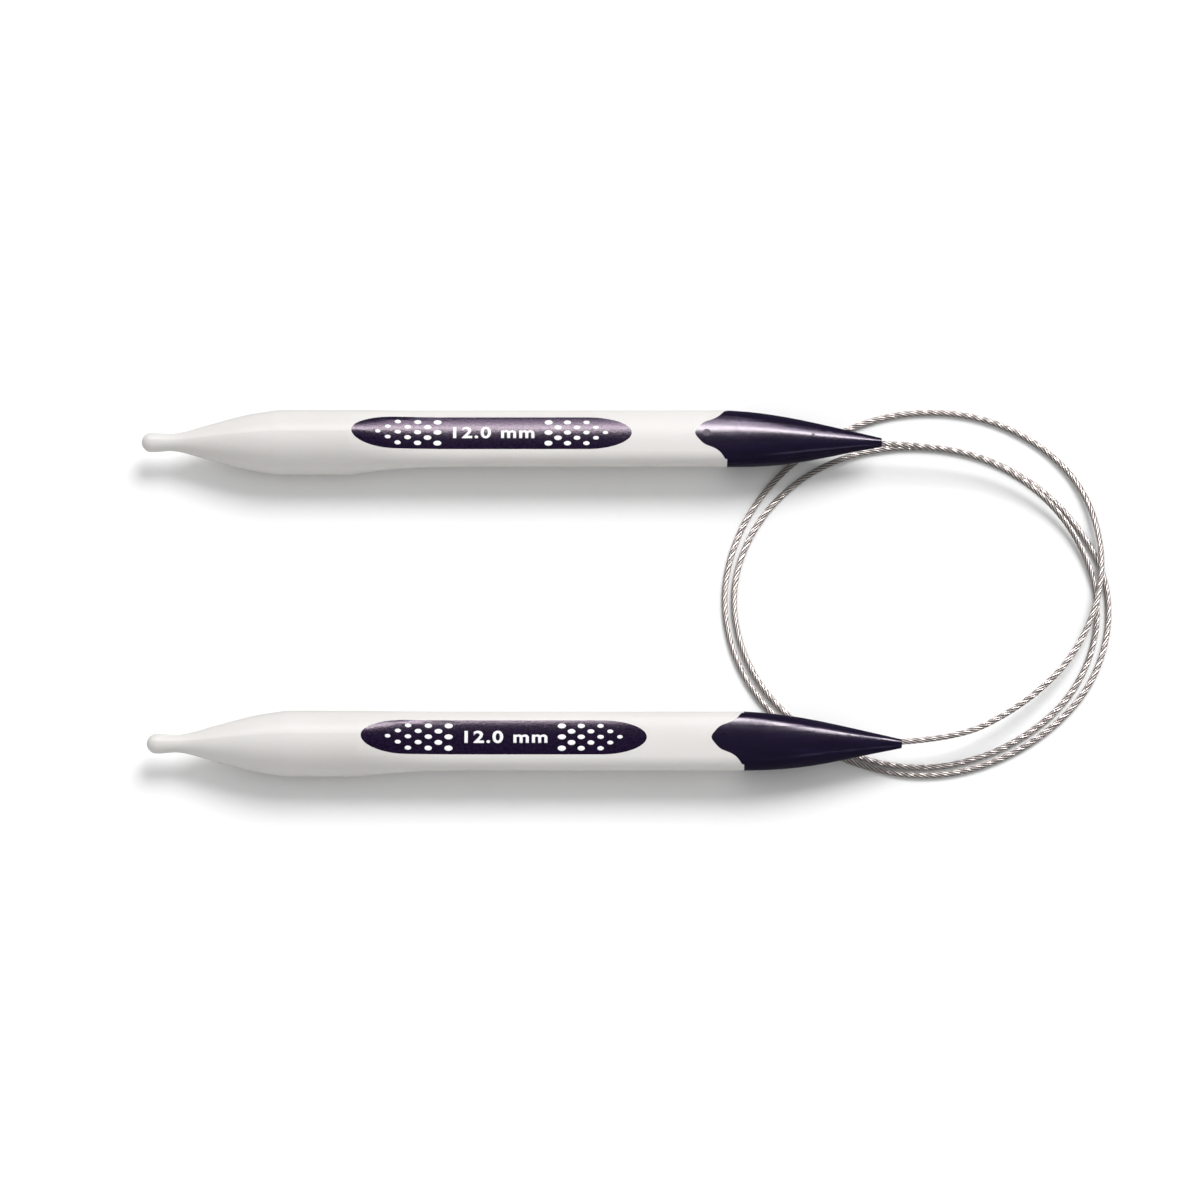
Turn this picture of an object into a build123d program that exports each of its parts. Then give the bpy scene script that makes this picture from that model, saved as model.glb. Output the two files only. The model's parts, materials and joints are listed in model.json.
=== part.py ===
"""Circular knitting needle, 12 mm, 80 cm: two moulded needles joined by a steel wire rope.

Each needle is a hollow white shaft with a drop-shaped point, a round grip that sets the knitting
size and a rounded triangular shank. A dark cone closes the shank. The rope's crimped ferrule
turns in a pocket inside that cone, so each needle can spin about the rope where it leaves.

Frame: millimetres, the needles lie along X with their points towards -X, their axes at the
height of the round grip's radius, +Z up. The origin is the bottom centre of the two needles.
"""

from build123d import *
from math import cos, pi, radians, sin, sqrt, tan
import os

# Needle, measured along its axis from the point's end
KNITTING_SIZE = 12.0        # diameter of the round grip
SHAFT_LENGTH = 108.3        # point to shoulder
CAP_LENGTH = 28.7           # shoulder to nose
GRIP_START = 28.0           # the point's flare reaches the full diameter
GRIP_END = 38.5             # the facets begin
FACET_FULL = 57.0           # the facets reach their full depth
BALL_D = 3.6                # drop-shaped end of the point
NECK_D = 3.15               # waist behind the ball
NECK_AT = 5.1
FLARE = [(10.3, 2.65), (15.6, 4.12), (20.8, 5.34), (24.0, 5.82)]   # distance and radius

# Rounded triangular shank: three slightly bulged facets, three round corners
CORNER_INSET = 0.05         # corners inside the round grip's surface
FACET_DEPTH = 1.5           # facets' middles inside the round grip's surface
FACET_HALF_ANGLE = 12.3     # half the angle that a facet's arc spans
FACET_NORMALS = (90, 210, 330)
FACET_TOP = 90              # the facet that carries the label

# Label let into the top facet
LABEL_START = 39.05
LABEL_LENGTH = 51.65
LABEL_WIDTH = 6.4
LABEL_END_LENGTH = 8.2      # each end is half an ellipse
LABEL_T = 0.3

# Hollow of the shaft and the cone's fit in it
BORE_START = 24.0
BORE_R = 3.0
SPIGOT_LENGTH = 12.0
SPIGOT_CLEARANCE = 0.03

# Cone: share of its length, then how much of the corner and of the facet is left above the nose.
# The first section lies behind the shoulder, so that the cone runs on smoothly from the shank.
CONE = [
    (-0.12, 1.0, 1.0), (0.0, 1.0, 1.0), (0.2, 0.91, 0.985), (0.42, 0.72, 0.84),
    (0.62, 0.487, 0.575), (0.84, 0.208, 0.235), (1.0, 0.0, 0.0),
]
NOSE_LIP = 0.19             # wall round the rope's bore at the nose
TONGUE_LENGTH = 5.9         # the tongue runs back over the top facet
TONGUE_T = 1.1              # middle of the facet to the tongue's flat underside
TONGUE_OVERLAP = 0.15       # the tongue's root past the corners
TONGUE_EDGE = [(0.89, 0.22), (0.73, 0.40), (0.53, 0.50), (0.35, 0.59), (0.22, 0.70), (0.10, 0.86)]
TONGUE_ROOT = 1.0           # the tongue's outline runs on past the shoulder
GATE_D = 1.45               # moulding mark on the tongue
GATE_FROM_SHOULDER = 3.76
PIP_D = 0.6                 # moulding mark on the cone
PIP_FROM_NOSE = 12.8
MARK_DEPTH = 0.12

# Rope and the ferrule crimped on each end of it
CABLE_D = 1.1
CABLE_BORE_CLEARANCE = 0.06
FERRULE_WALL = 0.4
FERRULE_LENGTH = 6.0
FERRULE_GRIP = 4.5          # rope inside the ferrule
FERRULE_SETBACK = 6.5       # nose to the ferrule's front
SWIVEL_CLEARANCE = 0.06     # round the ferrule
SWIVEL_END_PLAY = 0.05      # at each end of the ferrule
CRIMP_DEPTH = 0.12
CRIMP_WIDTH = 0.8
CRIMP_SHARES = (0.45, 0.75)    # of the ferrule's length from its back
PLUG_R = 1.9                # plug pressed in behind the ferrule
PLUG_LENGTH = 8.0
PLUG_CHAMFER = 0.3
PLUG_NOSE_LENGTH = 3.4
PLUG_NOSE_CLEARANCE = 0.1

# The pair as it lies
AXIS_SPACING = 58.8
STAGGER = 2.6               # needle b lies this much further along +X
ROLL = {"a": -2.5, "b": 2.5}   # degrees about the axis

# The rope's route: it leaves nose a, winds clockwise around the loop's centre, enters nose b.
# Each station is its radius from the centre and its height.
EXIT_RUN = 8.0              # straight length outside each nose
LOOP_AHEAD = 4.9            # loop's centre past the noses' mean position
LOOP_ASIDE = 1.7            # loop's centre beside the middle of the pair
FIRST_ANGLE = 55.66
STATION_STEP = -29.54
REST = CABLE_D / 2 + 0.05   # height of the rope's centre where it lies on the table
STATIONS = [
    (29.4, 3.7), (32.0, 1.5), (34.6, REST), (35.3, REST), (34.7, REST), (35.1, REST),
    (34.7, REST), (35.3, REST), (34.9, REST), (32.9, REST), (30.8, REST), (29.6, REST),
    (30.6, REST), (32.8, REST), (36.5, REST), (37.4, REST), (36.5, REST), (36.7, REST),
    (36.1, REST), (37.1, REST), (36.8, REST), (35.5, REST), (35.0, REST), (36.5, REST),
    (38.3, REST), (38.8, REST), (35.7, 2.6), (32.1, 2.8), (29.9, 3.9),
]
ARC_SHARE = 0.45            # of the shorter run beside each turn

NEEDLE_LENGTH = SHAFT_LENGTH + CAP_LENGTH
GRIP_R = KNITTING_SIZE / 2
CORNER_R = GRIP_R - CORNER_INSET
FACET_H = GRIP_R - FACET_DEPTH
TONGUE_SPREAD = CORNER_R * cos(radians(30)) + TONGUE_OVERLAP
CABLE_BORE_R = CABLE_D / 2 + CABLE_BORE_CLEARANCE
NOSE_R = CABLE_BORE_R + NOSE_LIP
FERRULE_R = CABLE_D / 2 + FERRULE_WALL
AXIS_HEIGHT = GRIP_R
TIPS = {
    "a": Vector(-(NEEDLE_LENGTH + STAGGER) / 2, AXIS_SPACING / 2, AXIS_HEIGHT),
    "b": Vector(-(NEEDLE_LENGTH - STAGGER) / 2, -AXIS_SPACING / 2, AXIS_HEIGHT),
}
FERRULE_FRONT = NEEDLE_LENGTH - FERRULE_SETBACK
FERRULE_BACK = FERRULE_FRONT - FERRULE_LENGTH
PLUG_SHOULDER = FERRULE_BACK - SWIVEL_END_PLAY - PLUG_NOSE_LENGTH
POCKET_R = FERRULE_R + SWIVEL_CLEARANCE


def outward(side, angle):
    """The direction away from a needle's axis, at an angle from +Y towards +Z plus its roll."""
    turned = radians(ROLL[side] + angle)
    return Vector(0, cos(turned), sin(turned))


def across(side, x):
    """The plane square to a needle at x from its point, its own Y towards the needle's top."""
    return Plane(TIPS[side] + Vector(x, 0, 0), x_dir=outward(side, 0), z_dir=(1, 0, 0))


def facing(side, x, height):
    """The plane over the top facet, height from the axis, its own X along the needle."""
    away = outward(side, FACET_TOP)
    return Plane(TIPS[side] + Vector(x, 0, 0) + away * height, x_dir=(1, 0, 0), z_dir=away)


def rounded_triangle(corner_r, facet_h):
    """Three facet arcs and three corner arcs, tangent all round. Equal sizes give a circle."""
    half = radians(FACET_HALF_ANGLE)
    corner_shift = (corner_r - facet_h) / (0.5 - sqrt(3) / 2 * tan(half / 2))
    corner_arc = corner_r - corner_shift
    facet_arc = corner_arc + corner_shift * sqrt(3) / 2 / sin(half)
    facet_shift = facet_arc - facet_h
    with BuildLine() as outline:
        for normal in FACET_NORMALS:
            away = Vector(cos(radians(normal)), sin(radians(normal)))
            corner = Vector(cos(radians(normal + 60)), sin(radians(normal + 60)))
            start = normal - FACET_HALF_ANGLE
            CenterArc(away * -facet_shift, facet_arc, start, 2 * FACET_HALF_ANGLE)
            start = normal + FACET_HALF_ANGLE
            CenterArc(corner * corner_shift, corner_arc, start, 120 - 2 * FACET_HALF_ANGLE)
    make_face(outline.edges())


def shank(side, skin=0.0):
    """The shank from the grip to the shoulder, less a skin all round."""
    runout = FACET_FULL - GRIP_END
    with BuildPart() as body:
        for step in (0, 1 / 3, 2 / 3, 1):
            with BuildSketch(across(side, GRIP_END + runout * step)):
                facet_h = FACET_H + (GRIP_R - FACET_H) * (1 - step) ** 2
                corner_r = CORNER_R + (GRIP_R - CORNER_R) * (1 - step) ** 2
                rounded_triangle(corner_r - skin, facet_h - skin)
        loft()
        for x in (FACET_FULL, SHAFT_LENGTH):
            with BuildSketch(across(side, x)):
                rounded_triangle(CORNER_R - skin, FACET_H - skin)
        loft(ruled=True)
    return body.part


def label_prism(side):
    """The label's outline, extruded through the top facet."""
    middle = LABEL_START + LABEL_LENGTH / 2
    straight = LABEL_LENGTH - 2 * LABEL_END_LENGTH
    with BuildPart() as prism:
        with BuildSketch(facing(side, middle, 0)):
            Rectangle(straight, LABEL_WIDTH)
            with Locations((-straight / 2, 0), (straight / 2, 0)):
                Ellipse(LABEL_END_LENGTH, LABEL_WIDTH / 2)
        extrude(amount=KNITTING_SIZE)
    return prism.part


def tongue_prism(side):
    """The outline of the cone's tongue, from its flat floor outwards."""
    right = [(-TONGUE_LENGTH * x, TONGUE_SPREAD * y) for x, y in TONGUE_EDGE]
    left = [(x, -y) for x, y in reversed(right)]
    with BuildPart() as prism:
        with BuildSketch(facing(side, SHAFT_LENGTH, FACET_H - TONGUE_T)):
            with BuildLine():
                edge = Spline((0, -TONGUE_SPREAD), *left, (-TONGUE_LENGTH, 0), *right,
                              (0, TONGUE_SPREAD))
                Polyline(edge @ 1, (TONGUE_ROOT, TONGUE_SPREAD), (TONGUE_ROOT, -TONGUE_SPREAD),
                         edge @ 0)
            make_face()
        extrude(amount=KNITTING_SIZE)
    return prism.part


def make_shaft(side, outer, inner, prism, tongue):
    """White hollow shaft: point, grip and shank, with the label's bed and the tongue's bed."""
    with BuildPart() as bed:
        add(prism)
        add(inner, mode=Mode.SUBTRACT)
    with BuildPart() as shaft:
        with BuildSketch(Plane(TIPS[side], x_dir=(1, 0, 0), z_dir=(0, -1, 0))):
            with BuildLine():
                ball_r = BALL_D / 2
                ball = CenterArc((ball_r, 0), ball_r, 180, -90)
                flare = Spline(ball @ 1, (NECK_AT, NECK_D / 2), *FLARE, (GRIP_START, GRIP_R),
                               tangents=[(1, 0), (1, 0)])
                Polyline(flare @ 1, (GRIP_END, GRIP_R), (GRIP_END, 0), ball @ 0)
            make_face()
        revolve(axis=Axis(TIPS[side], (1, 0, 0)))
        add(outer)
        add(bed.part, mode=Mode.SUBTRACT)
        add(tongue, mode=Mode.SUBTRACT)
        with BuildSketch(across(side, BORE_START)):
            Circle(BORE_R)
        extrude(amount=SHAFT_LENGTH - BORE_START, mode=Mode.SUBTRACT)
    return shaft.part


def make_label(outer, inner, prism):
    """Dark label: the top facet's skin inside the label's outline."""
    with BuildPart() as label:
        add(outer)
        add(prism, mode=Mode.INTERSECT)
        add(inner, mode=Mode.SUBTRACT)
    return label.part


def make_end_cap(side, outer, tongue):
    """Dark cone with a tongue, a spigot in the shaft and the ferrule's pocket."""
    spigot_r = BORE_R - SPIGOT_CLEARANCE
    spigot_end = SHAFT_LENGTH - SPIGOT_LENGTH
    pocket_front = FERRULE_FRONT + SWIVEL_END_PLAY
    with BuildPart() as lap:
        add(outer)
        add(tongue, mode=Mode.INTERSECT)
    with BuildPart() as cap:
        for share, corner_share, facet_share in CONE:
            with BuildSketch(across(side, SHAFT_LENGTH + CAP_LENGTH * share)):
                corner_r = NOSE_R + (CORNER_R - NOSE_R) * corner_share
                rounded_triangle(corner_r, NOSE_R + (FACET_H - NOSE_R) * facet_share)
        loft()
        with BuildSketch(across(side, SHAFT_LENGTH)):
            Circle(KNITTING_SIZE)
        extrude(amount=-CAP_LENGTH, mode=Mode.SUBTRACT)
        add(lap.part)
        with BuildSketch(across(side, spigot_end)):
            Circle(spigot_r)
        extrude(amount=SPIGOT_LENGTH)
        with BuildSketch(across(side, spigot_end)):
            Circle(PLUG_R)
        extrude(amount=PLUG_SHOULDER - spigot_end, mode=Mode.SUBTRACT)
        with BuildSketch(across(side, PLUG_SHOULDER)):
            Circle(POCKET_R)
        extrude(amount=pocket_front - PLUG_SHOULDER, mode=Mode.SUBTRACT)
        with BuildSketch(across(side, pocket_front)):
            Circle(CABLE_BORE_R)
        extrude(amount=NEEDLE_LENGTH - pocket_front, mode=Mode.SUBTRACT)
        with BuildSketch(facing(side, SHAFT_LENGTH - GATE_FROM_SHOULDER, FACET_H - MARK_DEPTH)):
            Circle(GATE_D / 2)
        extrude(amount=GRIP_R, mode=Mode.SUBTRACT)
        pip_depth = cone_height_at(CAP_LENGTH - PIP_FROM_NOSE) - MARK_DEPTH
        with BuildSketch(facing(side, NEEDLE_LENGTH - PIP_FROM_NOSE, pip_depth)):
            Circle(PIP_D / 2)
        extrude(amount=GRIP_R, mode=Mode.SUBTRACT)
    return cap.part


def cone_height_at(distance):
    """Axis to the middle of the cone's facet, at a distance from the shoulder."""
    share = distance / CAP_LENGTH
    for (start, _, from_h), (end, _, to_h) in zip(CONE, CONE[1:]):
        if start <= share <= end:
            facet_share = from_h + (to_h - from_h) * (share - start) / (end - start)
    return NOSE_R + (FACET_H - NOSE_R) * facet_share


def make_plug(side):
    """Plug pressed into the cone behind the ferrule, with a short nose in the pocket."""
    with BuildPart() as plug:
        with BuildSketch(across(side, PLUG_SHOULDER - PLUG_LENGTH)):
            Circle(PLUG_R)
        extrude(amount=PLUG_LENGTH)
        with BuildSketch(across(side, PLUG_SHOULDER)):
            Circle(POCKET_R - PLUG_NOSE_CLEARANCE)
        extrude(amount=PLUG_NOSE_LENGTH)
        chamfer(plug.edges().group_by(Axis.X)[0], length=PLUG_CHAMFER)
    return plug.part


def make_ferrule(side):
    """Steel sleeve crimped on the rope's end, with two crimped waists."""
    with BuildPart() as ferrule:
        with BuildSketch(across(side, FERRULE_BACK)):
            Circle(FERRULE_R)
        extrude(amount=FERRULE_LENGTH)
        for share in CRIMP_SHARES:
            with BuildSketch(across(side, FERRULE_BACK + FERRULE_LENGTH * share)):
                Circle(FERRULE_R)
                Circle(FERRULE_R - CRIMP_DEPTH, mode=Mode.SUBTRACT)
            extrude(amount=CRIMP_WIDTH, mode=Mode.SUBTRACT)
        with BuildSketch(across(side, FERRULE_FRONT)):
            Circle(CABLE_D / 2)
        extrude(amount=-FERRULE_GRIP, mode=Mode.SUBTRACT)
    return ferrule.part


def cable_points():
    """The route's points, from inside ferrule a to inside ferrule b."""
    inside = FERRULE_SETBACK + FERRULE_GRIP
    nose_a = TIPS["a"] + Vector(NEEDLE_LENGTH, 0, 0)
    nose_b = TIPS["b"] + Vector(NEEDLE_LENGTH, 0, 0)
    points = [nose_a - Vector(inside, 0, 0), nose_a + Vector(EXIT_RUN, 0, 0)]
    centre = Vector(NEEDLE_LENGTH / 2 + LOOP_AHEAD, LOOP_ASIDE)
    for number, (radius, height) in enumerate(STATIONS):
        angle = radians(FIRST_ANGLE + STATION_STEP * number)
        points.append(centre + Vector(radius * cos(angle), radius * sin(angle), height))
    points += [nose_b + Vector(EXIT_RUN, 0, 0), nose_b - Vector(inside, 0, 0)]
    return points


def arc_radii(points):
    """The largest radius that each turn's two runs allow."""
    radii = []
    for before, here, after in zip(points, points[1:], points[2:]):
        run = min((here - before).length, (after - here).length)
        turn = (here - before).get_angle(after - here)
        radii.append(ARC_SHARE * run / tan(radians(turn / 2)))
    return radii


def make_cable():
    """The wire rope's envelope, a plain tube along its route."""
    points = cable_points()
    radii = arc_radii(points)
    print("cable arc radii:", " ".join(f"{radius:.1f}" for radius in radii))
    with BuildPart() as cable:
        with BuildLine() as route:
            FilletPolyline(*points, radius=radii)
        length = sum(edge.length for edge in route.edges())
        with BuildSketch(Plane(points[0], z_dir=(1, 0, 0))):
            Circle(CABLE_D / 2)
        sweep()
    print(f"cable length {length:.1f}, section x length {length * pi * CABLE_D**2 / 4:.2f}")
    print(f"cable volume {cable.part.volume:.2f}")
    return cable.part


def write(part, name):
    """Label one sub-part and write its STEP file."""
    part.label = name
    export_step(part, f"parts/{name}.step")


os.makedirs("parts", exist_ok=True)
for side in TIPS:
    outer = shank(side)
    inner = shank(side, LABEL_T)
    prism = label_prism(side)
    tongue = tongue_prism(side)
    write(make_shaft(side, outer, inner, prism, tongue), f"shaft_{side}")
    write(make_label(outer, inner, prism), f"grip_label_{side}")
    write(make_end_cap(side, outer, tongue), f"end_cap_{side}")
    write(make_plug(side), f"retaining_plug_{side}")
    write(make_ferrule(side), f"cable_ferrule_{side}")
write(make_cable(), "cable")
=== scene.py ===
"""Looks of the circular knitting needle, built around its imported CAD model. Metres, +Z up."""

import json
from math import cos, pi, radians, sin

import bmesh
import bpy
import numpy as np
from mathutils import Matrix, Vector
from mathutils.bvhtree import BVHTree


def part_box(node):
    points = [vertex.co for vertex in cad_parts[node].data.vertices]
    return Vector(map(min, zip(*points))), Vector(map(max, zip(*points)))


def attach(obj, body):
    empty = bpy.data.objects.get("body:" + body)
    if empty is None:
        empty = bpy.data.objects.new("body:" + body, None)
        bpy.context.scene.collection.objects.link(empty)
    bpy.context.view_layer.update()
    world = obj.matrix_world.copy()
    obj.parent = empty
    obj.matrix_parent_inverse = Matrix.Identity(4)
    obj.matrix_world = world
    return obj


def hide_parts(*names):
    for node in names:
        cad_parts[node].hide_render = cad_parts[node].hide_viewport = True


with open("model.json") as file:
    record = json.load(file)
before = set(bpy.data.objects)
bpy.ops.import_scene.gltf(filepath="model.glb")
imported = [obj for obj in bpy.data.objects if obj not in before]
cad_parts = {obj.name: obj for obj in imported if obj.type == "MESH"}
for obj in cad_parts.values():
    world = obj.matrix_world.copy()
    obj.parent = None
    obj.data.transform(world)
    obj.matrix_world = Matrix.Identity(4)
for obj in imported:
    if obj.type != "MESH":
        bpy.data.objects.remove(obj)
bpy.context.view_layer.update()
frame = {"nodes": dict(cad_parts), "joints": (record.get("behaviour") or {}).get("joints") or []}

MM = 0.001
SIDES = ("a", "b")
JOINTS = {joint["name"]: joint for joint in frame["joints"]}
NOSES = {side: Vector(JOINTS[f"needle_{side}_swivel"]["pos_m"]) for side in SIDES}

# Camera
CAMERA_TARGET = Vector((15.05, 0.55, 0)) * MM
CAMERA_DISTANCE = 1.008
CAMERA_ELEVATION = radians(70)
LENS_MM = 164
SENSOR_MM = 36

# Rope: the route's stations are the radius from the loop's centre and the height, in millimetres
CABLE_D = 1.1 * MM
CABLE_INSIDE = 11 * MM      # rope behind each nose
EXIT_RUN = 8 * MM
LOOP_AHEAD = 4.9 * MM
LOOP_ASIDE = 1.7 * MM
FIRST_ANGLE = 55.66
STATION_STEP = -29.54
REST = 0.6
STATIONS = [
    (29.4, 3.7), (32.0, 1.5), (34.6, REST), (35.3, REST), (34.7, REST), (35.1, REST),
    (34.7, REST), (35.3, REST), (34.9, REST), (32.9, REST), (30.8, REST), (29.6, REST),
    (30.6, REST), (32.8, REST), (36.5, REST), (37.4, REST), (36.5, REST), (36.7, REST),
    (36.1, REST), (37.1, REST), (36.8, REST), (35.5, REST), (35.0, REST), (36.5, REST),
    (38.3, REST), (38.8, REST), (35.7, 2.6), (32.1, 2.8), (29.9, 3.9),
]
ROUTE_RESOLUTION = 34       # rings of the rope for each point of its route
STRANDS = 6
STRAND_R = CABLE_D / 6
STRAND_SIDES = 12
ROPE_LAY = 6.9 * MM         # length of one turn of a strand about the core
WIRE_LAY = 2.6 * MM         # length of one turn of a wire about its strand

# Label print, measured along the label from its end and across it from its middle
ROLL = {"a": -2.5, "b": 2.5}
PRINT_LIFT = 0.025 * MM     # ink above the label
PRINT_ROOT = 0.03 * MM      # ink's edge below the label
DOT_COLUMNS = (1, 2, 3, 2, 3, 2, 3)
DOT_FIRST = 4.85 * MM
DOT_PITCHES = {1: 1.83 * MM, -1: 1.75 * MM}    # from the label's first end, from its other
DOT_ROW_PITCH = 1.05 * MM   # between the staggered rows of neighbouring columns
DOT_SIZES = ((1.05 * MM, 0.7 * MM), (1.55 * MM, 1.0 * MM))    # outermost, innermost
DOT_SIDES = 28
DOT_RINGS = ((0.6, PRINT_LIFT), (0.93, 0.9 * PRINT_LIFT), (1.0, -PRINT_ROOT))
SIZE_TEXT = "12.0 mm"
SIZE_HEIGHT = 2.33 * MM     # height of a digit
SIZE_WIDTH = 15 * MM
SIZE_MIDDLE = 26.2 * MM
SIZE_BOLD = 0.028           # letters' outline grown, of their nominal height
SIZE_SPACING = 1.15
TEXT_EDGE = 0.35 * MM       # longest edge of the text's mesh
TEXT_CUTS = 6               # halvings that bring every edge under it

# Studio
FLOOR_HALF = 3.0
KEY_TOWARDS = Vector((0.29, 0.52, 0.80))
STRIP_DISTANCE = 0.6
STRIP_LENGTH = 1.4


def set_sockets(node, **values):
    """Set a shader node's sockets by name, with underscores for spaces."""
    for name, value in values.items():
        node.inputs[name.replace("_", " ")].default_value = value


class Material:
    """A procedural material under construction."""

    def __init__(self, name, **values):
        self.made = bpy.data.materials.new(name)
        self.made.use_nodes = True
        self.nodes = self.made.node_tree.nodes
        self.shader = self.nodes["Principled BSDF"]
        set_sockets(self.shader, **values)
        self.place = self.nodes.new("ShaderNodeTexCoord").outputs["Object"]

    def link(self, source, target):
        self.made.node_tree.links.new(source, target)

    def noise(self, size, detail=2.0, stretch=(1, 1, 1), roughness=0.5):
        """Noise with features of about that size in metres, stretched along the axes."""
        mapping = self.nodes.new("ShaderNodeMapping")
        mapping.inputs["Scale"].default_value = [1 / (size * factor) for factor in stretch]
        texture = self.nodes.new("ShaderNodeTexNoise")
        set_sockets(texture, Scale=1.0, Detail=detail, Roughness=roughness)
        self.link(self.place, mapping.inputs["Vector"])
        self.link(mapping.outputs["Vector"], texture.inputs["Vector"])
        return texture.outputs["Fac"]

    def ramp(self, source, *stops):
        """Colours along a value: pairs of position and colour."""
        ramp = self.nodes.new("ShaderNodeValToRGB")
        elements = ramp.color_ramp.elements
        while len(elements) < len(stops):
            elements.new(1.0)
        for element, (position, colour) in zip(elements, stops):
            element.position = position
            element.color = (*colour, 1)
        self.link(source, ramp.inputs["Fac"])
        return ramp.outputs["Color"]

    def levels(self, source, low, high):
        """A value from 0 to 1 rescaled to run from low to high."""
        scaled = self.nodes.new("ShaderNodeMapRange")
        scaled.inputs["To Min"].default_value = low
        scaled.inputs["To Max"].default_value = high
        self.link(source, scaled.inputs["Value"])
        return scaled.outputs["Result"]

    def bump(self, source, depth, before=None):
        """Relief of that depth in metres, on top of an earlier one."""
        bump = self.nodes.new("ShaderNodeBump")
        bump.inputs["Strength"].default_value = 1.0
        bump.inputs["Distance"].default_value = depth
        self.link(source, bump.inputs["Height"])
        if before:
            self.link(before, bump.inputs["Normal"])
        return bump.outputs["Normal"]


def white_plastic():
    """Warm white moulded plastic with a satin surface."""
    m = Material("white_plastic", IOR=1.5, Specular_IOR_Level=0.14, Subsurface_Weight=0.12,
                 Subsurface_Scale=0.0008)
    m.shader.inputs["Subsurface Radius"].default_value = (1.0, 0.8, 0.6)
    cloud = m.noise(9 * MM, 3, (2, 1, 1))
    grain = m.noise(0.25 * MM, 3)
    m.link(m.ramp(cloud, (0.3, (0.675, 0.655, 0.635)), (0.7, (0.70, 0.685, 0.665))),
           m.shader.inputs["Base Color"])
    m.link(m.levels(m.noise(1.5 * MM, 4), 0.3, 0.42), m.shader.inputs["Roughness"])
    m.link(m.bump(grain, 0.004 * MM, m.bump(m.noise(3 * MM, 2, (3, 1, 1)), 0.02 * MM)),
           m.shader.inputs["Normal"])
    return m.made


def violet_film():
    """Label: very dark violet film with a fine metallic mottle."""
    m = Material("violet_film", IOR=1.5, Specular_IOR_Level=0.33)
    m.shader.inputs["Specular Tint"].default_value = (1.0, 0.86, 1.0, 1)
    fleck = m.noise(0.35 * MM, 3, (1.6, 1, 1), 0.65)
    m.link(m.ramp(fleck, (0.35, (0.003, 0.001, 0.010)), (0.7, (0.016, 0.007, 0.032))),
           m.shader.inputs["Base Color"])
    m.link(m.levels(m.noise(0.6 * MM, 3), 0.13, 0.22), m.shader.inputs["Roughness"])
    m.link(m.bump(fleck, 0.012 * MM), m.shader.inputs["Normal"])
    return m.made


def dark_plastic():
    """Cone: glossy plastic of a very dark violet, with a faint moulded flow along it."""
    m = Material("dark_violet_plastic", IOR=1.5)
    m.shader.inputs["Specular Tint"].default_value = (0.96, 0.9, 1.0, 1)
    flow = m.noise(1.2 * MM, 3, (6, 1, 1))
    m.link(m.ramp(flow, (0.3, (0.005, 0.0025, 0.014)), (0.75, (0.009, 0.005, 0.024))),
           m.shader.inputs["Base Color"])
    m.link(m.levels(m.noise(0.9 * MM, 3), 0.13, 0.2), m.shader.inputs["Roughness"])
    m.link(m.bump(flow, 0.005 * MM), m.shader.inputs["Normal"])
    return m.made


def plug_plastic():
    """Plug: matt dark plastic, hidden inside the cone."""
    m = Material("plug_plastic", IOR=1.5)
    m.link(m.ramp(m.noise(1 * MM), (0.3, (0.025, 0.017, 0.04)), (0.7, (0.035, 0.023, 0.06))),
           m.shader.inputs["Base Color"])
    m.link(m.levels(m.noise(0.5 * MM), 0.5, 0.65), m.shader.inputs["Roughness"])
    return m.made


def sleeve_steel():
    """Ferrule: turned stainless steel with fine rings."""
    m = Material("sleeve_steel", Metallic=1.0)
    rings = m.noise(0.08 * MM, 2, (1, 40, 40))
    m.link(m.ramp(rings, (0.3, (0.52, 0.51, 0.49)), (0.7, (0.64, 0.63, 0.61))),
           m.shader.inputs["Base Color"])
    m.link(m.levels(rings, 0.28, 0.4), m.shader.inputs["Roughness"])
    m.link(m.bump(rings, 0.004 * MM), m.shader.inputs["Normal"])
    return m.made


def wire_steel():
    """Rope: drawn stainless wires that wind round each strand, with painted shade darkening each
    strand on its side that turns in between the strands.
    """
    m = Material("wire_steel", Metallic=0.6)
    nodes = m.nodes
    uv = nodes.new("ShaderNodeUVMap")
    split = nodes.new("ShaderNodeSeparateXYZ")
    m.link(uv.outputs["UV"], split.inputs["Vector"])
    turn = nodes.new("ShaderNodeMath")
    turn.operation = "MULTIPLY_ADD"
    m.link(split.outputs["Y"], turn.inputs[0])
    turn.inputs[1].default_value = STRANDS
    m.link(split.outputs["X"], turn.inputs[2])
    wires = nodes.new("ShaderNodeMath")
    wires.operation = "PINGPONG"
    wires.inputs[1].default_value = 0.5
    m.link(turn.outputs[0], wires.inputs[0])
    wire_height = m.levels(wires.outputs[0], 0, 2)
    inward = nodes.new("ShaderNodeMath")
    inward.operation = "PINGPONG"
    inward.inputs[1].default_value = 0.5
    m.link(split.outputs["Y"], inward.inputs[0])
    # Painted shade: bright on each strand's outer side, going dark on the side facing the core and
    # the neighbouring strands, where the grooves between strands lie in shade.
    groove_shade = m.ramp(inward.outputs[0], (0.1, (0.67, 0.62, 0.59)), (0.17, (0.28, 0.25, 0.23)),
                   (0.24, (0.025, 0.02, 0.02)))
    m.link(groove_shade, m.shader.inputs["Base Color"])
    m.link(m.levels(m.noise(0.5 * MM, 3), 0.26, 0.42), m.shader.inputs["Roughness"])
    m.link(m.bump(wire_height, 0.03 * MM), m.shader.inputs["Normal"])
    return m.made


def print_ink():
    """White ink with slightly uneven cover."""
    m = Material("print_ink", IOR=1.45)
    m.link(m.ramp(m.noise(0.3 * MM, 3), (0.3, (0.82, 0.82, 0.83)), (0.7, (0.9, 0.9, 0.9))),
           m.shader.inputs["Base Color"])
    m.link(m.levels(m.noise(0.4 * MM), 0.4, 0.55), m.shader.inputs["Roughness"])
    return m.made


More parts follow.
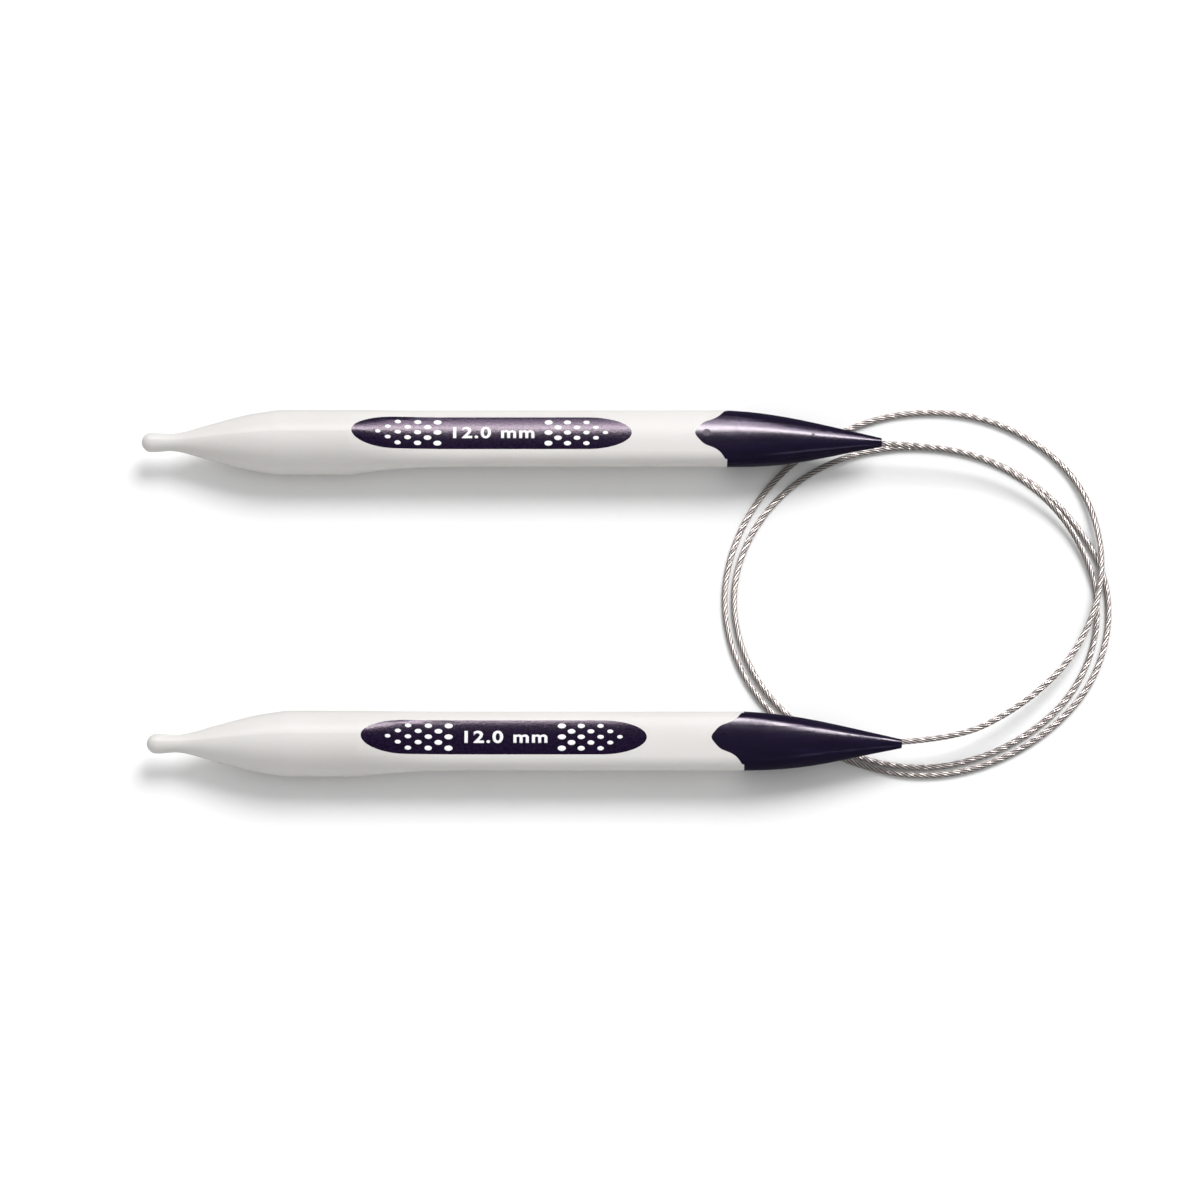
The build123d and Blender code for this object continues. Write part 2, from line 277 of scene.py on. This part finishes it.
def floor_paper():
    """Plain white floor."""
    m = Material("floor_paper", IOR=1.4)
    m.link(m.ramp(m.noise(60 * MM, 2), (0.3, (0.885, 0.885, 0.885)), (0.7, (0.9, 0.9, 0.9))),
           m.shader.inputs["Base Color"])
    m.shader.inputs["Roughness"].default_value = 0.9
    m.shader.inputs["Specular IOR Level"].default_value = 0.1
    return m.made


def new_piece(name, mesh, material, body):
    """A mesh as an object with one material that rides on a CAD body."""
    piece = bpy.data.objects.new(name, mesh)
    bpy.context.scene.collection.objects.link(piece)
    piece.data.materials.clear()
    piece.data.materials.append(material)
    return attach(piece, body)


# Camera

def place_camera():
    data = bpy.data.cameras.new("camera")
    data.lens = LENS_MM
    data.sensor_width = SENSOR_MM
    data.clip_start = 0.01
    camera = bpy.data.objects.new("camera", data)
    bpy.context.scene.collection.objects.link(camera)
    back = Vector((0, -cos(CAMERA_ELEVATION), sin(CAMERA_ELEVATION)))
    camera.location = CAMERA_TARGET + back * CAMERA_DISTANCE
    camera.rotation_euler = (-back).to_track_quat("-Z", "Y").to_euler()
    bpy.context.scene.camera = camera


# Rope

def route_points():
    """The route's control points, from inside nose a's ferrule to inside nose b's."""
    inside, outside = Vector((CABLE_INSIDE, 0, 0)), Vector((EXIT_RUN, 0, 0))
    middle = (NOSES["a"].x + NOSES["b"].x) / 2
    centre = Vector((middle + LOOP_AHEAD, LOOP_ASIDE, 0))
    points = [NOSES["a"] - inside, NOSES["a"] + outside]
    for number, (radius, height) in enumerate(STATIONS):
        angle = radians(FIRST_ANGLE + STATION_STEP * number)
        points.append(centre + Vector((radius * cos(angle), radius * sin(angle), height)) * MM)
    return points + [NOSES["b"] + outside, NOSES["b"] - inside]


def smooth_route():
    """Points along the NURBS spline that has the route's points as its control points."""
    curve = bpy.data.curves.new("rope_route", "CURVE")
    curve.dimensions = "3D"
    curve.resolution_u = ROUTE_RESOLUTION
    points = route_points()
    spline = curve.splines.new("NURBS")
    spline.points.add(len(points) - 1)
    for control, point in zip(spline.points, points):
        control.co = (*point, 1)
    spline.order_u = 3
    spline.use_endpoint_u = True
    route = bpy.data.objects.new("rope_route", curve)
    mesh = bpy.data.meshes.new_from_object(route)
    line = np.array([vertex.co for vertex in mesh.vertices])
    bpy.data.objects.remove(route)
    bpy.data.meshes.remove(mesh)
    return line


def transported(line):
    """Lengths, tangents, normals and binormals along a line, turning as little as they can."""
    steps = np.linalg.norm(np.diff(line, axis=0), axis=1)
    lengths = np.concatenate([[0], np.cumsum(steps)])
    tangents = np.gradient(line, lengths, axis=0)
    tangents /= np.linalg.norm(tangents, axis=1)[:, None]
    normal = np.array((0.0, 0.0, 1.0))
    normals = []
    for tangent in tangents:
        normal = normal - tangent * (normal @ tangent)
        normal /= np.linalg.norm(normal)
        normals.append(normal)
    normals = np.array(normals)
    return lengths, tangents, normals, np.cross(tangents, normals)


def tube(rings, uvs):
    """Vertices, faces and UVs of a tube: rings is an array of ring, side and coordinate."""
    count, sides, _ = rings.shape
    ring, side = np.meshgrid(np.arange(count - 1), np.arange(sides), indexing="ij")
    after = (side + 1) % sides
    quads = np.stack([ring * sides + side, ring * sides + after,
                      (ring + 1) * sides + after, (ring + 1) * sides + side], axis=-1)
    along = np.stack([uvs[ring], uvs[ring], uvs[ring + 1], uvs[ring + 1]], axis=-1)
    around = np.stack([side, side + 1, side + 1, side], axis=-1) / sides
    faces = [quad.tolist() for quad in quads.reshape(-1, 4)]
    corners = np.stack([along, around], axis=-1).reshape(-1, 2)
    return rings.reshape(-1, 3), faces, corners


def rope_mesh(line):
    """Six strands laid right-handed about a core, each a tube of its own."""
    lengths, tangents, normals, binormals = transported(line)
    vertices, faces, corners = [], [], []
    for strand in range(-1, STRANDS):
        laid = 0 if strand < 0 else 2 * STRAND_R
        turn = 2 * pi * (lengths / ROPE_LAY + strand / STRANDS)
        out = normals * np.cos(turn)[:, None] + binormals * np.sin(turn)[:, None]
        sideways = np.cross(tangents, out)
        heading = tangents + sideways * (2 * pi * laid / ROPE_LAY)
        heading /= np.linalg.norm(heading, axis=1)[:, None]
        flank = np.cross(heading, out)
        around = 2 * pi * np.arange(STRAND_SIDES) / STRAND_SIDES
        rings = (line + out * laid)[:, None] + STRAND_R * (
            out[:, None] * np.cos(around)[None, :, None]
            + flank[:, None] * np.sin(around)[None, :, None])
        points, quads, uvs = tube(rings, lengths / WIRE_LAY)
        start = sum(len(part) for part in vertices)
        last = start + len(points) - STRAND_SIDES
        faces += [[start + corner for corner in quad] for quad in quads]
        faces.append(list(range(start + STRAND_SIDES - 1, start - 1, -1)))
        faces.append(list(range(last, last + STRAND_SIDES)))
        vertices.append(points)
        corners += [uvs, np.zeros((2 * STRAND_SIDES, 2))]
    mesh = bpy.data.meshes.new("cable_rope")
    mesh.from_pydata(np.concatenate(vertices).tolist(), [], faces)
    layer = mesh.uv_layers.new(name="UVMap")
    layer.data.foreach_set("uv", np.concatenate(corners).astype(np.float32).ravel())
    mesh.polygons.foreach_set("use_smooth", [len(face) == 4 for face in faces])
    return mesh


def make_rope():
    line = smooth_route()
    rope = new_piece("cable_rope", rope_mesh(line), wire_steel(), "cord")
    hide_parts("cable")


# Label print

def label_surface(side):
    """A function that puts a place on the label, along and across it, on its surface."""
    label = frame["nodes"][f"grip_label_{side}"]
    tree = BVHTree.FromPolygons([vertex.co for vertex in label.data.vertices],
                                [polygon.vertices for polygon in label.data.polygons])
    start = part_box(f"grip_label_{side}")[0].x
    turned = radians(ROLL[side])
    over, away = Vector((0, cos(turned), sin(turned))), Vector((0, -sin(turned), cos(turned)))

    def put(along, across, lift):
        place = Vector((start + along, NOSES[side].y, NOSES[side].z)) + over * across
        hit, *_ = tree.ray_cast(place + away * 2 * NOSES[side].z, -away)
        return hit + away * lift

    return put


def make_dots(side, put, ink):
    """The two groups of dots, growing towards the label's middle."""
    low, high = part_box(f"grip_label_{side}")
    made = bmesh.new()
    for group in (1, -1):
        for number, rows in enumerate(DOT_COLUMNS):
            share = number / (len(DOT_COLUMNS) - 1)
            width, height = (a + (b - a) * share for a, b in zip(*DOT_SIZES))
            along = DOT_FIRST + DOT_PITCHES[group] * number
            along = along if group > 0 else high.x - low.x - along
            for row in range(rows):
                across = DOT_ROW_PITCH * (2 * row - rows + 1)
                add_dot(made, put, along, across, width / 2, height / 2)
    mesh = bpy.data.meshes.new(f"label_dots_{side}")
    made.to_mesh(mesh)
    made.free()
    return new_piece(mesh.name, mesh, ink, f"needle_{side}")


def add_dot(made, put, along, across, half_width, half_height):
    """One slightly domed ellipse of ink with its edge let into the label."""
    middle = made.verts.new(put(along, across, PRINT_LIFT))
    loops = []
    for share, lift in DOT_RINGS:
        loops.append([])
        for step in range(DOT_SIDES):
            angle = 2 * pi * step / DOT_SIDES
            place = put(along + half_width * share * cos(angle),
                        across + half_height * share * sin(angle), lift)
            loops[-1].append(made.verts.new(place))
    for step in range(DOT_SIDES):
        after = (step + 1) % DOT_SIDES
        made.faces.new((middle, loops[0][step], loops[0][after])).smooth = True
        for inner, outer in zip(loops, loops[1:]):
            face = made.faces.new((inner[step], outer[step], outer[after], inner[after]))
            face.smooth = True


def make_size_mark(side, put, ink):
    """The knitting size in plain letters, its mesh fine enough to follow the label."""
    data = bpy.data.curves.new(f"label_size_{side}", "FONT")
    data.body = SIZE_TEXT
    data.align_x = "CENTER"
    data.align_y = "CENTER"
    data.offset = SIZE_BOLD
    data.space_character = SIZE_SPACING
    text = bpy.data.objects.new(data.name, data)
    flat = bpy.data.meshes.new_from_object(text)
    bpy.data.objects.remove(text)
    made = bmesh.new()
    made.from_mesh(flat)
    places = np.array([vertex.co for vertex in made.verts])
    low, high = places.min(axis=0), places.max(axis=0)
    scales = SIZE_WIDTH / (high[0] - low[0]), SIZE_HEIGHT / (high[1] - low[1])
    for vertex, place in zip(made.verts, places - (low + high) / 2):
        vertex.co = (place[0] * scales[0], place[1] * scales[1], 0)
    bmesh.ops.triangulate(made, faces=made.faces)
    for _ in range(TEXT_CUTS):
        long_edges = [edge for edge in made.edges if edge.calc_length() > TEXT_EDGE]
        bmesh.ops.subdivide_edges(made, edges=long_edges, cuts=1)
        bmesh.ops.triangulate(made, faces=made.faces)
    sides = bmesh.ops.extrude_face_region(made, geom=made.faces)["geom"]
    raised = {item for item in sides if isinstance(item, bmesh.types.BMVert)}
    for vertex in made.verts:
        lift = PRINT_LIFT if vertex in raised else -PRINT_ROOT
        vertex.co = put(SIZE_MIDDLE + vertex.co.x, vertex.co.y, lift)
    bmesh.ops.recalc_face_normals(made, faces=made.faces)
    mesh = bpy.data.meshes.new(data.name)
    made.to_mesh(mesh)
    made.free()
    return new_piece(mesh.name, mesh, ink, f"needle_{side}")


# CAD nodes

def dress_nodes():
    """Give every shown CAD node its own finish."""
    finishes = {
        "shaft": white_plastic(), "grip_label": violet_film(), "end_cap": dark_plastic(),
        "retaining_plug": plug_plastic(), "cable_ferrule": sleeve_steel(),
    }
    for name, node in frame["nodes"].items():
        finish = finishes.get(name.rsplit("_", 1)[0])
        if finish:
            for slot in node.material_slots:
                slot.material = finish


# Studio

def make_floor():
    mesh = bpy.data.meshes.new("floor")
    corners = [(FLOOR_HALF * x, FLOOR_HALF * y, 0) for x, y in ((-1, -1), (1, -1), (1, 1), (-1, 1))]
    mesh.from_pydata(corners, [], [(0, 1, 2, 3)])
    floor = bpy.data.objects.new("floor", mesh)
    bpy.context.scene.collection.objects.link(floor)
    mesh.materials.append(floor_paper())
    floor.visible_glossy = False


def make_light(kind, name, towards, **values):
    """A light at a place that shines towards the origin."""
    data = bpy.data.lights.new(name, kind)
    for key, value in values.items():
        setattr(data, key, value)
    light = bpy.data.objects.new(name, data)
    bpy.context.scene.collection.objects.link(light)
    light.location = towards
    light.rotation_euler = towards.to_track_quat("Z", "Y").to_euler()
    return light


def make_strip(name, elevation, x, length, width, radiance, colour):
    """A strip along X, seen from the origin at an elevation over +Y, in glossy surfaces only."""
    away = Vector((0, cos(radians(elevation)), sin(radians(elevation)))) * STRIP_DISTANCE
    strip = make_light("AREA", name, away, shape="RECTANGLE", size=length, size_y=width,
                       energy=radiance * pi * length * width, color=colour)
    strip.location.x = x
    strip.visible_diffuse = False
    strip.visible_camera = False


def make_lights():
    world = bpy.data.worlds.new("studio")
    world.use_nodes = True
    set_sockets(world.node_tree.nodes["Background"], Color=(0.97, 0.98, 1.0, 1), Strength=0.1)
    bpy.context.scene.world = world
    key = make_light("SUN", "key", KEY_TOWARDS, energy=2.3, angle=radians(32))
    fill = make_light("SUN", "fill", Vector((0, 0, 1)), energy=1.65, angle=radians(150))
    for sun in (key, fill):
        sun.visible_glossy = False
    make_strip("streak", 55.2, 0.15, STRIP_LENGTH, 0.063, 34.0, (1.0, 0.97, 0.95))
    make_strip("streak_edge", 48, 0.15, STRIP_LENGTH, 0.084, 8.0, (0.95, 0.85, 1.0))
    make_strip("glow", 146, 0.5, 0.5, 0.12, 1.1, (0.7, 0.75, 1.0))
    bpy.context.scene.view_settings.view_transform = "Standard"


place_camera()
make_rope()
ink = print_ink()
for side in SIDES:
    put = label_surface(side)
    make_dots(side, put, ink)
    make_size_mark(side, put, ink)
dress_nodes()
make_floor()
make_lights()
